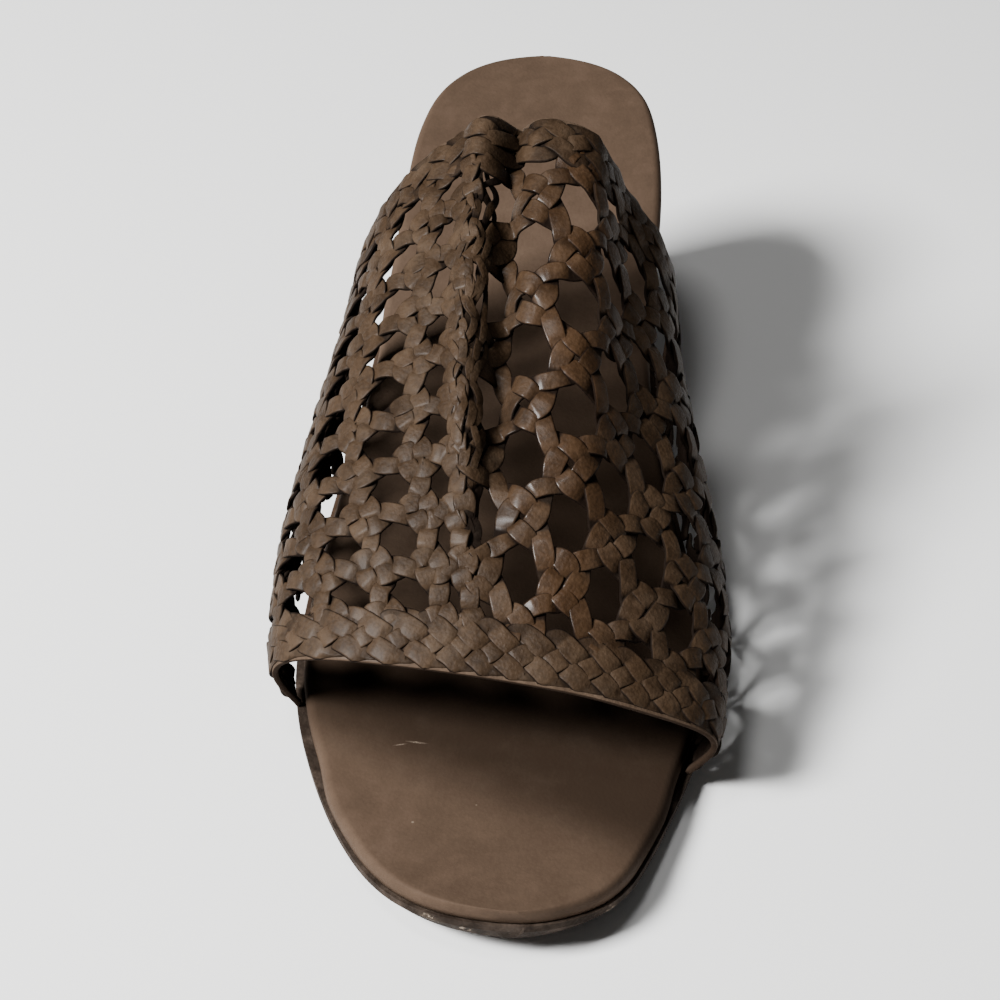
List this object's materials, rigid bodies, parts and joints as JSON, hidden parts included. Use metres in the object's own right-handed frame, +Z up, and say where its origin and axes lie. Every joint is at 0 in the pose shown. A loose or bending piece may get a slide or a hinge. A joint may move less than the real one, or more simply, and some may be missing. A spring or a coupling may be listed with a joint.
{
  "type": "woven wedge sandal",
  "caption": "Slip-on wedge sandal for the right foot with an open woven leather upper, plaited borders, a smooth leather insole, a covered wedge and a thin outsole.",
  "frame": {"origin": "on the floor under the middle of the shoe's bounding box", "axes": "+Y from toe to heel, +Z up, +X towards the inner (big toe) side"},
  "size_m": [0.0944, 0.2272, 0.0923],
  "materials": {
    "woven_leather": "worn satin, dark taupe brown",
    "insole_leather": "smooth matte, brown, worn darker behind the toes",
    "wedge_cover": "smooth satin, dark brown",
    "outsole_rubber": "matte, scuffed at the toe"
  },
  "bodies": {
    "root": {"upper": "woven_leather", "insole": "insole_leather", "wedge": "wedge_cover", "outsole": "outsole_rubber"}
  },
  "joints": []
}
